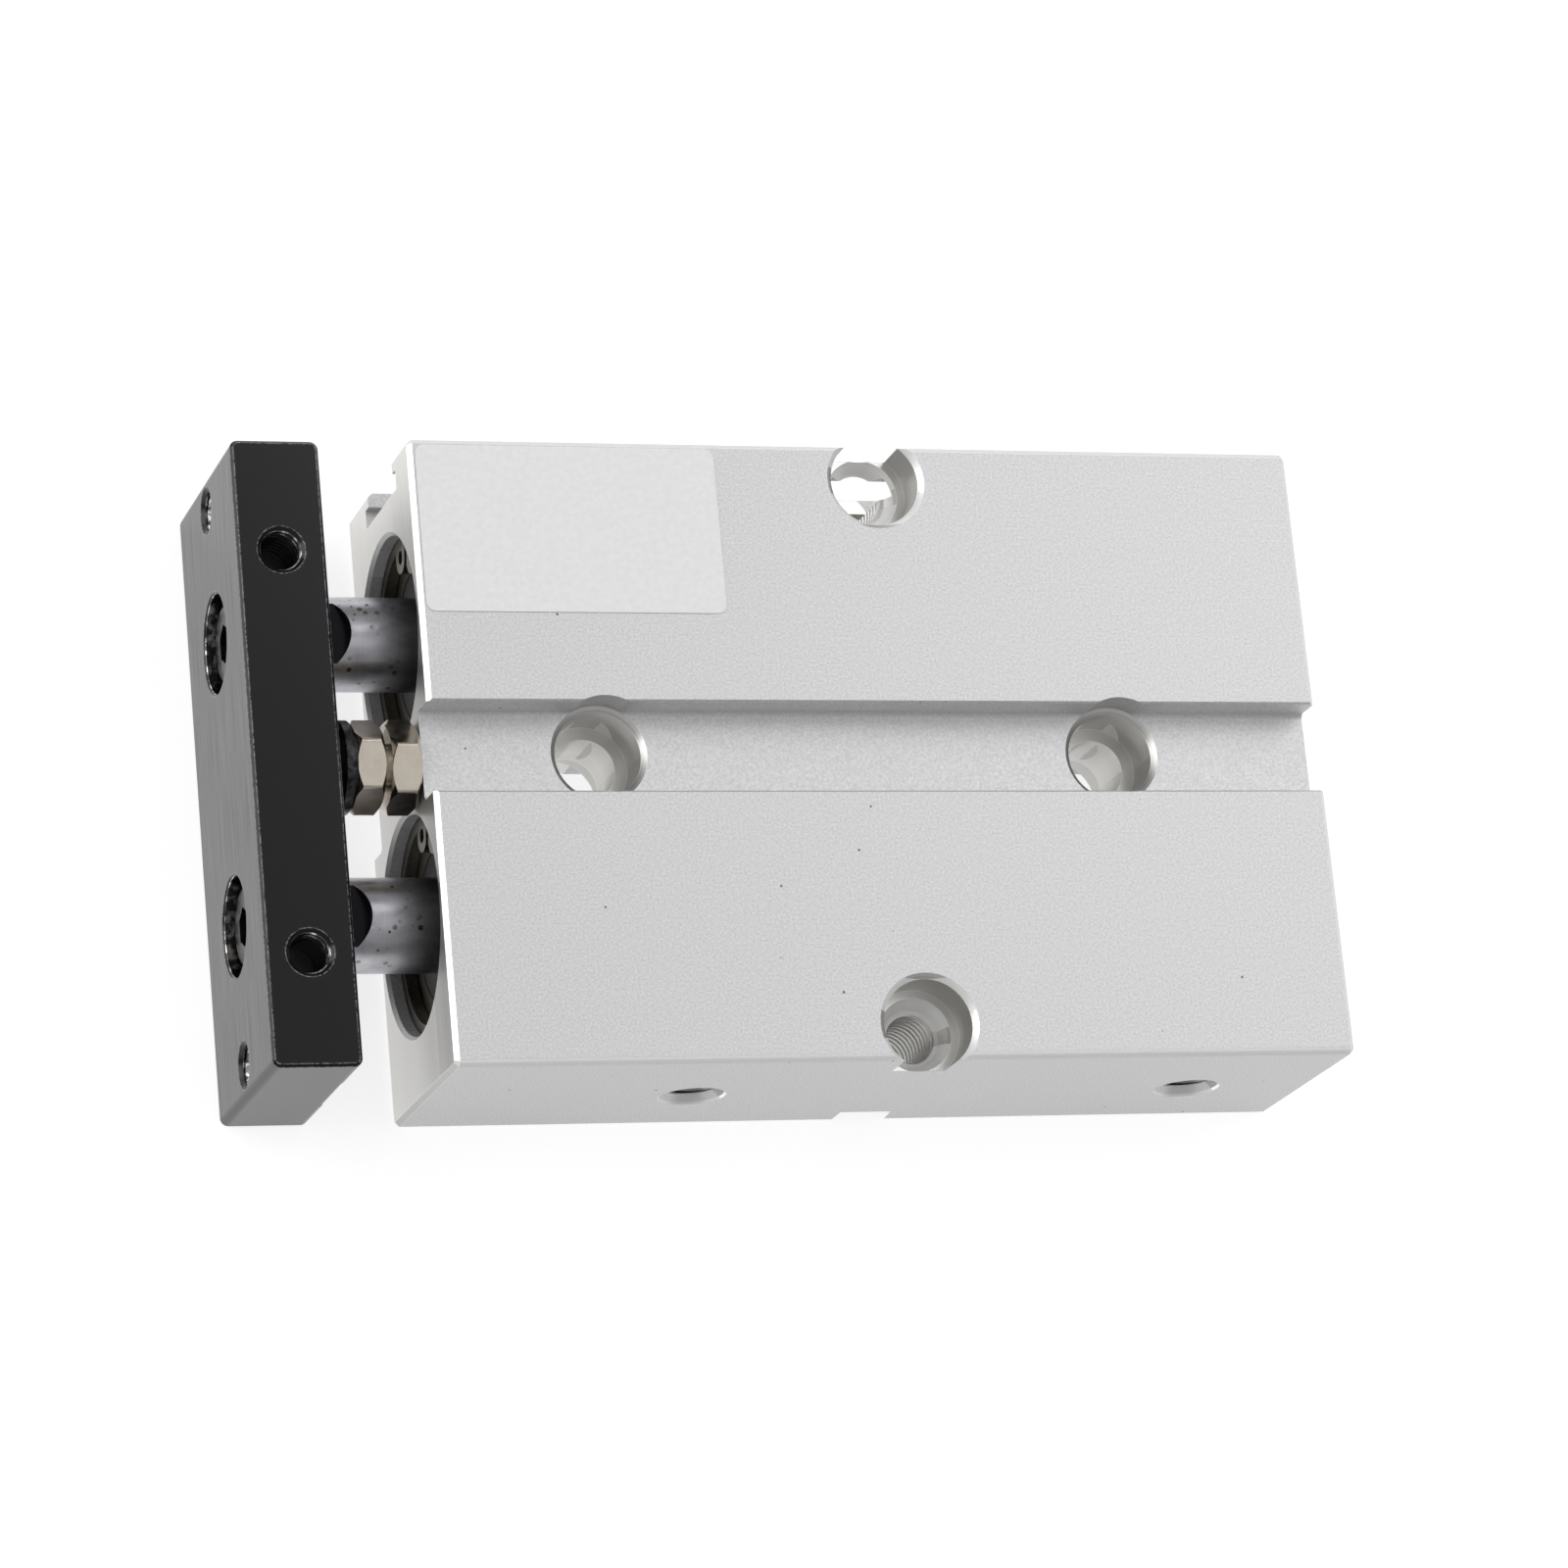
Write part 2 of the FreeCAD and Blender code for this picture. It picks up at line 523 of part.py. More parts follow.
def piston_rod(y):
    """Rod with wrench flats and a thread at the plate, and a spigot for the piston."""
    thread = SCREW_DIAMETER / 2 + THREAD_FIT
    rod = turned([
        (PLATE_BACK_X, thread), (PLATE_BACK_X, ROD_RADIUS - ROD_END_CHAMFER),
        (PLATE_BACK_X + ROD_END_CHAMFER, ROD_RADIUS),
        (PISTON_X, ROD_RADIUS), (PISTON_X, SPIGOT_RADIUS), (SPIGOT_END_X, SPIGOT_RADIUS),
        (SPIGOT_END_X, 0), (PLATE_BACK_X + ROD_THREAD_DEPTH, 0),
        (PLATE_BACK_X + ROD_THREAD_DEPTH, thread)], y)
    cutter_x = PLATE_BACK_X + FLAT_REACH - FLAT_CUTTER_DIAMETER / 2
    flats = []
    for direction in (1, -1):
        start = (cutter_x, y, direction * ROD_FLATS / 2)
        flats.append(rod_along((0, 0, direction), start, ROD_RADIUS, FLAT_CUTTER_DIAMETER / 2))
    return rod.cut(flats)


def piston_front(y):
    """Front half of the piston: wear ring groove and the boss that carries the magnet."""
    bore = SPIGOT_RADIUS + THREAD_FIT
    groove_x = PISTON_X + (PISTON_FRONT_LENGTH - WEAR_RING_WIDTH) / 2 - GROOVE_PLAY
    groove_end = groove_x + WEAR_RING_WIDTH + 2 * GROOVE_PLAY
    groove_floor = BORE_RADIUS - RUNNING_FIT - WEAR_RING_WALL - GROOVE_PLAY
    boss = PISTON_BOSS_DIAMETER / 2
    return turned([
        (PISTON_X, bore), (PISTON_X, PISTON_RADIUS - PISTON_CHAMFER),
        (PISTON_X + PISTON_CHAMFER, PISTON_RADIUS),
        (groove_x, PISTON_RADIUS), (groove_x, groove_floor),
        (groove_end, groove_floor), (groove_end, PISTON_RADIUS),
        (MAGNET_X, PISTON_RADIUS), (MAGNET_X, boss), (PISTON_REAR_X, boss), (PISTON_REAR_X, bore)], y)


def piston_rear(y):
    """Rear half of the piston, with the groove of the piston seal."""
    bore = SPIGOT_RADIUS + THREAD_FIT
    groove_x = PISTON_REAR_X + (PISTON_REAR_LENGTH - PISTON_SEAL_WIDTH) / 2 - GROOVE_PLAY
    groove_end = groove_x + PISTON_SEAL_WIDTH + 2 * GROOVE_PLAY
    groove_floor = BORE_RADIUS - SEAL_FIT - PISTON_SEAL_WALL - GROOVE_PLAY
    return turned([
        (PISTON_REAR_X, bore), (PISTON_REAR_X, PISTON_RADIUS),
        (groove_x, PISTON_RADIUS), (groove_x, groove_floor),
        (groove_end, groove_floor), (groove_end, PISTON_RADIUS),
        (PISTON_NUT_X - PISTON_CHAMFER, PISTON_RADIUS), (PISTON_NUT_X, PISTON_RADIUS - PISTON_CHAMFER),
        (PISTON_NUT_X, bore)], y)


def piston_magnet(y):
    """Ring magnet clamped between the piston halves, for the sensors in the T-slot."""
    inner = PISTON_BOSS_DIAMETER / 2 + THREAD_FIT
    return ring((MAGNET_X, PISTON_REAR_X), inner, PISTON_RADIUS - MAGNET_SET_BACK, y)


def wear_ring(y):
    """Guide ring of the piston."""
    first = PISTON_X + (PISTON_FRONT_LENGTH - WEAR_RING_WIDTH) / 2
    outer = BORE_RADIUS - RUNNING_FIT
    return ring((first, first + WEAR_RING_WIDTH), outer - WEAR_RING_WALL, outer, y)


def piston_seal(y):
    """Piston seal with a lip at both ends and a waist between them."""
    first = PISTON_REAR_X + (PISTON_REAR_LENGTH - PISTON_SEAL_WIDTH) / 2
    last = first + PISTON_SEAL_WIDTH
    outer = BORE_RADIUS - SEAL_FIT
    inner = outer - PISTON_SEAL_WALL
    waist = outer - SEAL_LIP
    return turned([
        (first, inner), (last, inner), (last, outer), (last - SEAL_LIP, outer), (last - 2 * SEAL_LIP, waist),
        (first + 2 * SEAL_LIP, waist), (first + SEAL_LIP, outer), (first, outer)], y)


def front_bumper(y):
    """Bumper that meets the rod cover when the rods are out."""
    return ring((FRONT_BUMPER_X, PISTON_X), ROD_RADIUS + THREAD_FIT, BUMPER_DIAMETER / 2, y)


def rear_bumper(y):
    """Bumper round the piston nut."""
    outer = BUMPER_DIAMETER / 2
    return ring((PISTON_NUT_X, REAR_BUMPER_END_X), outer - REAR_BUMPER_WALL, outer, y)


def piston_nut(y):
    """Nut that clamps the piston on its spigot."""
    x_span = (PISTON_NUT_X, PISTON_NUT_X + PISTON_NUT_THICKNESS)
    nut = chamfered_hexagon(x_span, PISTON_NUT_FLATS, 0, ("last",), y)
    thread = SPIGOT_RADIUS + THREAD_FIT
    return nut.cut(rod_along((1, 0, 0), (PISTON_NUT_X, y, 0), PISTON_NUT_THICKNESS, thread))


def rod_screw(y):
    """Socket head screw through the end plate into a rod."""
    top = SCREW_SEAT_X - SCREW_HEAD_HEIGHT
    head = SCREW_HEAD_DIAMETER / 2
    shank = SCREW_DIAMETER / 2
    screw = turned([
        (top, 0), (top, head - SCREW_HEAD_ROUND), (top + SCREW_HEAD_ROUND, head), (SCREW_SEAT_X, head),
        (SCREW_SEAT_X, shank), (SCREW_SEAT_X + SCREW_LENGTH, shank), (SCREW_SEAT_X + SCREW_LENGTH, 0)], y)
    return screw.cut(hexagon((top, top + SCREW_SOCKET_DEPTH), SCREW_SOCKET_FLATS, 0, y))


def plate_hole_cutters():
    """Counterbored holes for the rod screws, and the tapped holes of the faces, spot-faced at the back."""
    thread = PLATE_THREAD_MINOR / 2
    counterbore_radius = PLATE_COUNTERBORE_DIAMETER / 2
    top_z = HALF_THICKNESS - PLATE_SET_BACK_Z
    middle_x = (PLATE_FACE_X + PLATE_BACK_X) / 2
    cutters = [rod_along((-1, 0, 0), (PLATE_BACK_X, 0, STOP_Z), STOP_THREAD_DEPTH,
                         STOP_THREAD_DIAMETER / 2 + THREAD_FIT)]
    for side in (1, -1):
        screw = (PLATE_FACE_X, side * BORE_PITCH / 2, 0)
        cutters.append(rod_along((1, 0, 0), screw, PLATE_THICKNESS, PLATE_SCREW_HOLE_DIAMETER / 2))
        cutters.append(rod_along((1, 0, 0), screw, PLATE_COUNTERBORE_DEPTH, counterbore_radius))
        cutters.append(cone_along((1, 0, 0), screw, PLATE_COUNTERBORE_CHAMFER, counterbore_radius))
        face_hole = (PLATE_FACE_X, side * PLATE_FACE_HOLE_PITCH / 2, 0)
        cutters.append(rod_along((1, 0, 0), face_hole, PLATE_THICKNESS, thread))
        cutters.append(cone_along((1, 0, 0), face_hole, PLATE_THREAD_CHAMFER, thread))
        back_hole = (PLATE_BACK_X, side * PLATE_FACE_HOLE_PITCH / 2, 0)
        cutters.append(rod_along((-1, 0, 0), back_hole, PLATE_SPOTFACE_DEPTH, PLATE_SPOTFACE_DIAMETER / 2))
        top_hole = (middle_x, side * PLATE_TOP_HOLE_PITCH / 2, top_z)
        cutters.append(rod_along((0, 0, -1), top_hole, PLATE_TOP_HOLE_DEPTH, thread))
        cutters.append(cone_along((0, 0, -1), top_hole, PLATE_THREAD_CHAMFER, thread))
    return cutters


def end_plate():
    """Plate that joins the rods and carries the load."""
    half_y = HALF_WIDTH - PLATE_SET_BACK_Y
    half_z = HALF_THICKNESS - PLATE_SET_BACK_Z
    plate = block((PLATE_FACE_X, PLATE_BACK_X), (-half_y, half_y), (-half_z, half_z))
    upright = [edge for edge in plate.Edges if edge.BoundBox.ZLength > half_z]
    plate = plate.makeFillet(PLATE_CORNER_ROUND, upright)
    level = [edge for edge in plate.Edges if edge.BoundBox.ZLength < FLAT_TOLERANCE]
    plate = plate.makeChamfer(PLATE_EDGE_CHAMFER, level)
    return plate.cut(plate_hole_cutters())


def stop_bolt():
    """Hexagon bolt in the end plate whose head meets the body when the rods are in."""
    head_x = STOP_FACE_X - STOP_HEAD_HEIGHT
    head = chamfered_hexagon((head_x, STOP_FACE_X), STOP_FLATS, STOP_HEAD_TURN, ("first", "last"), 0, STOP_Z)
    pocket = rod_along((-1, 0, 0), (STOP_FACE_X, 0, STOP_Z), STOP_BUMPER_DEPTH, STOP_BUMPER_DIAMETER / 2)
    shank_length = head_x - PLATE_BACK_X + STOP_ENGAGEMENT
    shank = rod_along((-1, 0, 0), (head_x, 0, STOP_Z), shank_length, STOP_THREAD_DIAMETER / 2)
    return head.cut(pocket).fuse(shank)


def stop_bumper():
    """Bumper set in the head of the stop bolt."""
    depth = STOP_BUMPER_DEPTH + STOP_BUMPER_PROUD
    return rod_along((-1, 0, 0), (-STOP_CONTACT_GAP, 0, STOP_Z), depth, STOP_BUMPER_DIAMETER / 2 - THREAD_FIT)


def lock_nut():
    """Nut that locks the stop bolt against its cup washer."""
    first = PLATE_BACK_X + STOP_WASHER_THICKNESS
    last = first + STOP_NUT_HEIGHT
    nut = chamfered_hexagon((first, last), STOP_FLATS, STOP_NUT_TURN, ("first", "last"), 0, STOP_Z)
    return nut.cut(rod_along((1, 0, 0), (first, 0, STOP_Z), STOP_NUT_HEIGHT,
                             STOP_THREAD_DIAMETER / 2 + THREAD_FIT))


def lock_washer():
    """Cup washer under the lock nut, narrow where it meets the plate."""
    last = PLATE_BACK_X + STOP_WASHER_THICKNESS
    inner = STOP_THREAD_DIAMETER / 2 + SHAFT_CLEARANCE
    outer = STOP_WASHER_DIAMETER / 2
    return turned([
        (PLATE_BACK_X, inner), (last, inner),
        (last, outer - STOP_WASHER_CHAMFER), (last - STOP_WASHER_CHAMFER, outer),
        (last - STOP_WASHER_RIM, outer), (PLATE_BACK_X, STOP_WASHER_FOOT_DIAMETER / 2)], 0, STOP_Z)


def save(name, shape):
    """Write one piece as parts/NAME.step, moved to the part's own origin."""
    placed = shape.copy()
    placed.translate(FreeCAD.Vector(-SIDE_HOLE_X, 0, HALF_THICKNESS))
    placed.exportStep(os.path.join("parts", name + ".step"))


def build():
    """Write every piece."""
    os.makedirs("parts", exist_ok=True)
    for make in (housing, type_label, end_plate, stop_bolt, stop_bumper, lock_nut, lock_washer):
        save(make.__name__, make())
    paired = (rod_cover, rod_seal, guide_bush, cover_oring, front_circlip,
              rear_cover, rear_oring, rear_circlip,
              piston_rod, piston_front, piston_rear, piston_magnet, wear_ring, piston_seal,
              front_bumper, rear_bumper, piston_nut, rod_screw)
    for side, y in SIDES:
        for make in paired:
            save(side + "_" + make.__name__, make(y))


build()
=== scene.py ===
"""Looks of the guided pneumatic cylinder: finishes, threads, light, floor and camera."""

import json
import math

import bpy
from mathutils import Matrix, Vector


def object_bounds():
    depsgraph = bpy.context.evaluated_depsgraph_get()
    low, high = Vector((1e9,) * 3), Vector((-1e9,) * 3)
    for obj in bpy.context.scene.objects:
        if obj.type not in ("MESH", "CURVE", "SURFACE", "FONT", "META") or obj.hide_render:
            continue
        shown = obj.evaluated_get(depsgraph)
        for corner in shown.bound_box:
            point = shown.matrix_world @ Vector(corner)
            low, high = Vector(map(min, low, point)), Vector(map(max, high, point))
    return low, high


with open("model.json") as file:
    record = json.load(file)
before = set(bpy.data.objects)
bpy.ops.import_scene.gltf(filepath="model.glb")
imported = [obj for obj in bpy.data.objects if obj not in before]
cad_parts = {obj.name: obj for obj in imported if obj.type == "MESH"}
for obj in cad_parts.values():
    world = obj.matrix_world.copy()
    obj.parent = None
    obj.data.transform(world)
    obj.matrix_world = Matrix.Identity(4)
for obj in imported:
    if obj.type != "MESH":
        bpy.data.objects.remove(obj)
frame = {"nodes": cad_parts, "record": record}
cad_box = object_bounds()
nodes = frame["nodes"]

MM = 0.001

# Kinds of shader node
MATH = "ShaderNodeMath"
VECTOR_MATH = "ShaderNodeVectorMath"
RANGE = "ShaderNodeMapRange"
MIX = "ShaderNodeMix"
PLACE = "ShaderNodeTexCoord"
AXES = "ShaderNodeSeparateXYZ"
BUMP = "ShaderNodeBump"

# The middle of a cloudy pattern, which a range stretches to its own ends
CLOUD_SPAN = {"From Min": 0.3, "From Max": 0.7}

# Holes as axis, a point on the axis in mm and radius in mm
M5_SIDE_HOLES = [("Z", (0, 23.9, 0), 2.1), ("Z", (0, -23.9, 0), 2.1)]
M4_FACE_HOLES = [("X", (0, 24, 10.5), 1.65), ("X", (0, -24, 10.5), 1.65)]
M4_TOP_HOLES = [("Z", (-52.25, 17.2, 0), 1.65), ("Z", (-52.25, -17.2, 0), 1.65)]
CENTRE_COUNTERBORES = [("Z", (-25.7, 0.4, 0), 3.75), ("Z", (20, 0.4, 0), 3.75)]
SIDE_COUNTERBORES = [("Z", (0, 23.9, 0), 3.9), ("Z", (0, -23.9, 0), 3.9)]
PORTS = [("Y", (-17.6, 0, 9.5), 2.1), ("Y", (26.9, 0, 9.5), 2.1)]
BORE_SEATS = [("X", (0, 12.25, 10.5), 9.25), ("X", (0, -12.25, 10.5), 9.25)]
PLATE_COUNTERBORES = [("X", (0, 12.25, 10.5), 4.2), ("X", (0, -12.25, 10.5), 4.2)]

# Thread spacings, in mm
M5_PITCH = 0.8
M4_PITCH = 0.7

# How far outside a hole's wall a mask reaches, in mm: past the chamfer, or for a port's throat to the start
# of the painted highlight on its rim
RIM_CHAMFER = 0.45
PORT_CHAMFER = 0.8
PORT_THROAT = 0.62
BORE_CHAMFER = 0.36
TAPPED_RIM = 0.1
PLATE_HOLE_RIM = 0.05

# The painted shade on the counterbores' walls lies between these two distances outside the counterbores, in
# mm
WALL_OUTSIDE = 0.2
WALL_INSIDE = -0.9

# How squarely a surface has to face an axis: the cosine of the angle between the two
GLANCING = 0.2
SLANTED = 0.3
MOSTLY = 0.6
NEARLY = 0.8
SQUARELY = 0.9
EXACTLY = 0.98

# Levels on the housing, in mm from the origin: just above the groove's floor, just inside the side faces,
# short of the end faces, past the groove's rounds, and short of the long outer edges
GROOVE_FLOOR_Z = 17.95
BODY_SIDE_Y = 26.95
BODY_END_X = 37
GROOVE_SIDE_Y = 5
OUTER_LAND_Y = 20

# The bores' axis on the slot side, and half the width over the rods' wrench flats
ROD_AXIS_Z = 10.5 * MM
BORE_AXIS = (0, 12.25 * MM, ROD_AXIS_Z)
ROD_FLAT_HEIGHT = 3.0 * MM
FLAT_TOLERANCE = 0.03 * MM

# The rods lie outside the body, and then have wrench flats, below these levels along x
ROD_SIDE_FACE_X = -41 * MM
WRENCH_FLATS_X = -44 * MM

# The mouths of the tapped holes in the plate's edge lie above this level, in mm
PLATE_MOUTH_Z = 18.9


def linear(hex_colour):
    """sRGB hex to the linear colour that shaders take."""
    values = [int(hex_colour[i:i + 2], 16) / 255 for i in (1, 3, 5)]
    return [v / 12.92 if v <= 0.04045 else ((v + 0.055) / 1.055) ** 2.4 for v in values] + [1.0]


def add(tree, kind, inputs=None, output=0, **settings):
    """One shader node: an input is a socket to link or a constant, and a setting is one of its modes.

    Gives back one output of the node, or nothing for a node that has none.
    """
    node = tree.nodes.new(kind)
    for name, value in settings.items():
        setattr(node, name, value)
    for key, value in (inputs or {}).items():
        if isinstance(value, bpy.types.NodeSocket):
            tree.links.new(value, node.inputs[key])
        else:
            node.inputs[key].default_value = value
    return node.outputs[output] if node.outputs else None


def new_material(name):
    """A named material and its empty tree of nodes."""
    material = bpy.data.materials.new(name)
    material.use_nodes = True
    material.node_tree.nodes.clear()
    return material, material.node_tree


def close_finish(tree, inputs):
    """Puts what a finish has worked out into its shader and shows it."""
    add(tree, "ShaderNodeOutputMaterial", {"Surface": add(tree, "ShaderNodeBsdfPrincipled", inputs)})


def layers(tree, colour, coats):
    """A colour with coats over it: each has a mask, its strength from 0 to 1 and its sRGB hex colour."""
    for mask, strength, coat in coats:
        cover = add(tree, MATH, {0: mask, 1: strength}, operation="MULTIPLY")
        colour = add(tree, MIX, {0: cover, 6: colour, 7: linear(coat)}, output=2, data_type="RGBA")
    return colour


def two_tone(tree, pattern, first, second):
    """Colour that follows a cloudy pattern from one sRGB hex colour to another."""
    share = add(tree, RANGE, {"Value": pattern, **CLOUD_SPAN, "To Min": 0.0, "To Max": 1.0})
    return add(tree, MIX, {0: share, 6: linear(first), 7: linear(second)}, output=2, data_type="RGBA")


def cloudy(tree, size, detail=2.0):
    """Cloudy pattern whose lumps are about as wide as size says, in metres along x, y and z."""
    place = add(tree, PLACE, output="Object")
    scaled = add(tree, VECTOR_MATH, {0: place, 1: [1 / width for width in size]}, operation="MULTIPLY")
    return add(tree, "ShaderNodeTexNoise", {"Vector": scaled, "Scale": 1.0, "Detail": detail}, output="Fac")


def near_edges(tree, width):
    """1 along the edges of a piece and 0 from one width away."""
    still_flat = 0.99
    full_edge = 0.85
    rounded = add(tree, "ShaderNodeBevel", {"Radius": width}, output="Normal", samples=4)
    faces = add(tree, "ShaderNodeNewGeometry", output="Normal")
    likeness = add(tree, VECTOR_MATH, {0: rounded, 1: faces}, output="Value", operation="DOT_PRODUCT")
    return add(tree, RANGE, {"Value": likeness, "From Min": still_flat, "From Max": full_edge,
                             "To Min": 0.0, "To Max": 1.0})


def specks(tree, spacing, size):
    """1 inside small round specks that lie about one spacing apart, else 0."""
    cells = add(tree, "ShaderNodeTexVoronoi",
                {"Vector": add(tree, PLACE, output="Object"), "Scale": 1 / spacing, "Randomness": 1.0},
                output="Distance")
    return add(tree, MATH, {0: cells, 1: size / spacing / 2}, operation="LESS_THAN")


def round_hole(tree, axis, centre):
    """Distance from a hole's axis, way along it and angle round it, for a hole's axis and centre in mm."""
    along = "XYZ".index(axis)
    offset = add(tree, VECTOR_MATH, {0: add(tree, PLACE, output="Object"), 1: [v * MM for v in centre]},
                 operation="SUBTRACT")
    crosswise = [float(i != along) for i in range(3)]
    across = add(tree, VECTOR_MATH, {0: offset, 1: crosswise}, operation="MULTIPLY")
    distance = add(tree, VECTOR_MATH, {0: across}, output="Value", operation="LENGTH")
    parts = add(tree, AXES, {0: offset}).node.outputs
    angle = add(tree, MATH, {0: parts[(along + 2) % 3], 1: parts[(along + 1) % 3]}, operation="ARCTAN2")
    return distance, parts[along], angle


def inside_holes(tree, holes, rim):
    """1 on all that was cut with the holes and up to a rim in mm outside them, else 0."""
    total = 0.0
    for axis, centre, radius in holes:
        distance = round_hole(tree, axis, centre)[0]
        inside = add(tree, MATH, {0: distance, 1: (radius + rim) * MM}, operation="LESS_THAN")
        total = add(tree, MATH, {0: inside, 1: total}, operation="MAXIMUM")
    return total


def thread_relief(tree, holes, pitch, before):
    """Surface direction with right-hand threads on the walls of the holes."""
    spare_turns = 8.0  # whole turns, so that they shift no thread
    wall_band = 0.08 * MM
    depth = 0.6 * MM
    total = 0.0
    for axis, centre, radius in holes:
        distance, along, angle = round_hole(tree, axis, centre)
        turns = add(tree, MATH, {0: angle, 1: -1 / (2 * math.pi), 2: spare_turns}, operation="MULTIPLY_ADD")
        phase = add(tree, MATH, {0: along, 1: 1 / (pitch * MM), 2: turns}, operation="MULTIPLY_ADD")
        ridge = add(tree, MATH, {0: phase, 1: 0.5}, operation="PINGPONG")
        wall = add(tree, MATH, {0: distance, 1: radius * MM, 2: wall_band}, operation="COMPARE")
        total = add(tree, MATH, {0: ridge, 1: wall, 2: total}, operation="MULTIPLY_ADD")
    return add(tree, BUMP, {"Height": total, "Normal": before, "Distance": depth, "Strength": 1.0})


def facing(tree, axis, least):
    """1 on surfaces that face along an axis, either way, else 0."""
    part = add(tree, AXES, {0: add(tree, PLACE, output="Normal")}, output=axis)
    size = add(tree, MATH, {0: part}, operation="ABSOLUTE")
    return add(tree, MATH, {0: size, 1: least}, operation="GREATER_THAN")


def within(tree, axis, level):
    """1 where the distance from the origin along an axis is less than a level in mm, else 0."""
    part = add(tree, AXES, {0: add(tree, PLACE, output="Object")}, output=axis)
    size = add(tree, MATH, {0: part}, operation="ABSOLUTE")
    return add(tree, MATH, {0: size, 1: level * MM}, operation="LESS_THAN")


def housing_holes(tree):
    """1 on the housing's counterbored holes and ports, and 1 on the ports alone."""
    centre = add(tree, MATH, {0: inside_holes(tree, CENTRE_COUNTERBORES, RIM_CHAMFER),
                              1: within(tree, "Z", GROOVE_FLOOR_Z)}, operation="MULTIPLY")
    side = add(tree, MATH, {0: inside_holes(tree, SIDE_COUNTERBORES, RIM_CHAMFER),
                            1: within(tree, "Y", BODY_SIDE_Y)}, operation="MULTIPLY")
    half = add(tree, AXES, {0: add(tree, PLACE, output="Object")}, output="Y")
    port_half = add(tree, MATH, {0: half, 1: 0.0}, operation="LESS_THAN")
    ports = add(tree, MATH, {0: inside_holes(tree, PORTS, PORT_CHAMFER), 1: port_half}, operation="MULTIPLY")
    counterbores = add(tree, MATH, {0: centre, 1: side}, operation="MAXIMUM")
    return add(tree, MATH, {0: counterbores, 1: ports}, operation="MAXIMUM"), ports


def shaded_counterbore_walls(tree, holes):
    """1 on the upright walls of the counterbores, where shade is painted, 0 or less elsewhere."""
    counterbores = CENTRE_COUNTERBORES + SIDE_COUNTERBORES
    ring = add(tree, MATH, {0: inside_holes(tree, counterbores, WALL_OUTSIDE),
                            1: inside_holes(tree, counterbores, WALL_INSIDE)}, operation="SUBTRACT")
    cut_ring = add(tree, MATH, {0: ring, 1: holes}, operation="MULTIPLY")
    return add(tree, MATH, {0: cut_ring, 1: facing(tree, "Z", NEARLY)}, operation="SUBTRACT")


def housing_edges(tree):
    """1 on the long outer edges, on the groove's rounds and on the upright corners, where highlights and
    shade are painted; 0 or less elsewhere.
    """
    rounds = add(tree, MATH, {0: facing(tree, "Y", GLANCING), 1: facing(tree, "Z", GLANCING)},
                 operation="MULTIPLY")
    outer = add(tree, MATH, {0: rounds, 1: within(tree, "Y", OUTER_LAND_Y)}, operation="SUBTRACT")
    groove = add(tree, MATH, {0: rounds, 1: within(tree, "Y", GROOVE_SIDE_Y)}, operation="MULTIPLY")
    upright = add(tree, MATH, {0: facing(tree, "X", SLANTED), 1: facing(tree, "Y", SLANTED)},
                  operation="MULTIPLY")
    corners = add(tree, MATH, {0: upright, 1: within(tree, "X", BODY_END_X)}, operation="SUBTRACT")
    return outer, groove, corners


